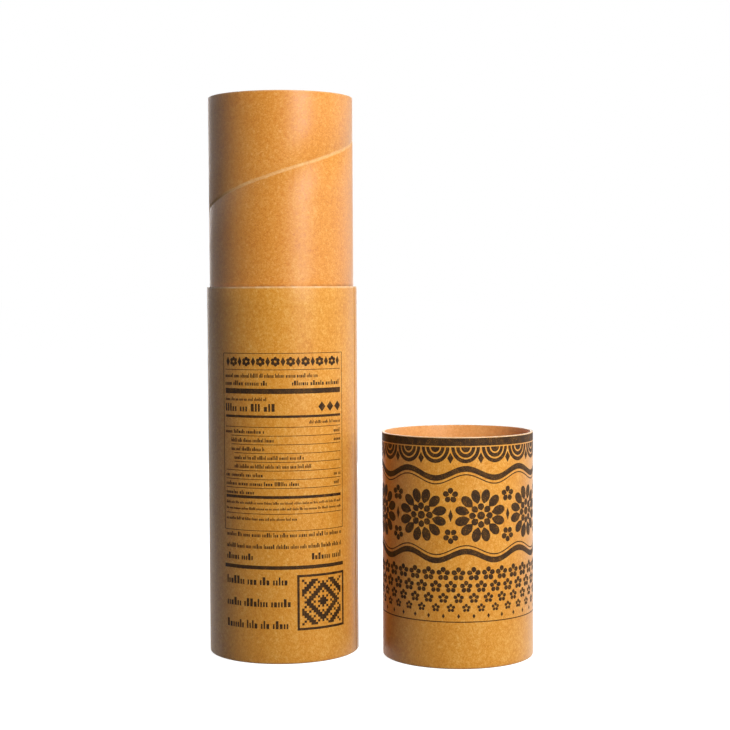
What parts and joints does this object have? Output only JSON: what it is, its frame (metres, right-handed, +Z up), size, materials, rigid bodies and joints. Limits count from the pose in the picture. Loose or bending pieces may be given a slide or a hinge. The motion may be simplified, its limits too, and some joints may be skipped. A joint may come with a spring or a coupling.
{
  "type": "cylindrical gift tube box",
  "caption": "Cylindrical kraft paper tube box: a wrapped body with a spiral-wound neck rising from it, and a telescoping cap taken off and set down beside it.",
  "frame": {"origin": "middle of the body's underside, on the surface that the box stands on", "axes": "+Z up along the body's centre line, out of the neck's mouth; +X from the body to the cap standing beside it"},
  "size_m": [0.1744, 0.08, 0.2965],
  "materials": {
    "printed_kraft": "matte",
    "neck_kraft": "matte",
    "core_kraft": "matte",
    "liner_kraft": "matte",
    "cover_kraft": "matte",
    "tube_board": "matte",
    "disc_board": "matte"
  },
  "bodies": {
    "tube": {"body_tube": "tube_board", "body_wrap": "printed_kraft", "base_disc": "disc_board", "base_liner": "liner_kraft", "base_cover": "cover_kraft", "neck_outer_ply": "neck_kraft", "neck_core_ply": "core_kraft", "neck_inner_ply": "liner_kraft"},
    "cap": {"cap_tube": "tube_board", "cap_wrap": "printed_kraft", "cap_disc": "disc_board", "cap_liner": "liner_kraft", "cap_cover": "cover_kraft"}
  },
  "joints": [
    {"name": "cap_lift", "type": "slide", "parent": "tube", "child": "cap", "axis": [0, 0, 1], "range_m": [0, 0.31]}
  ]
}
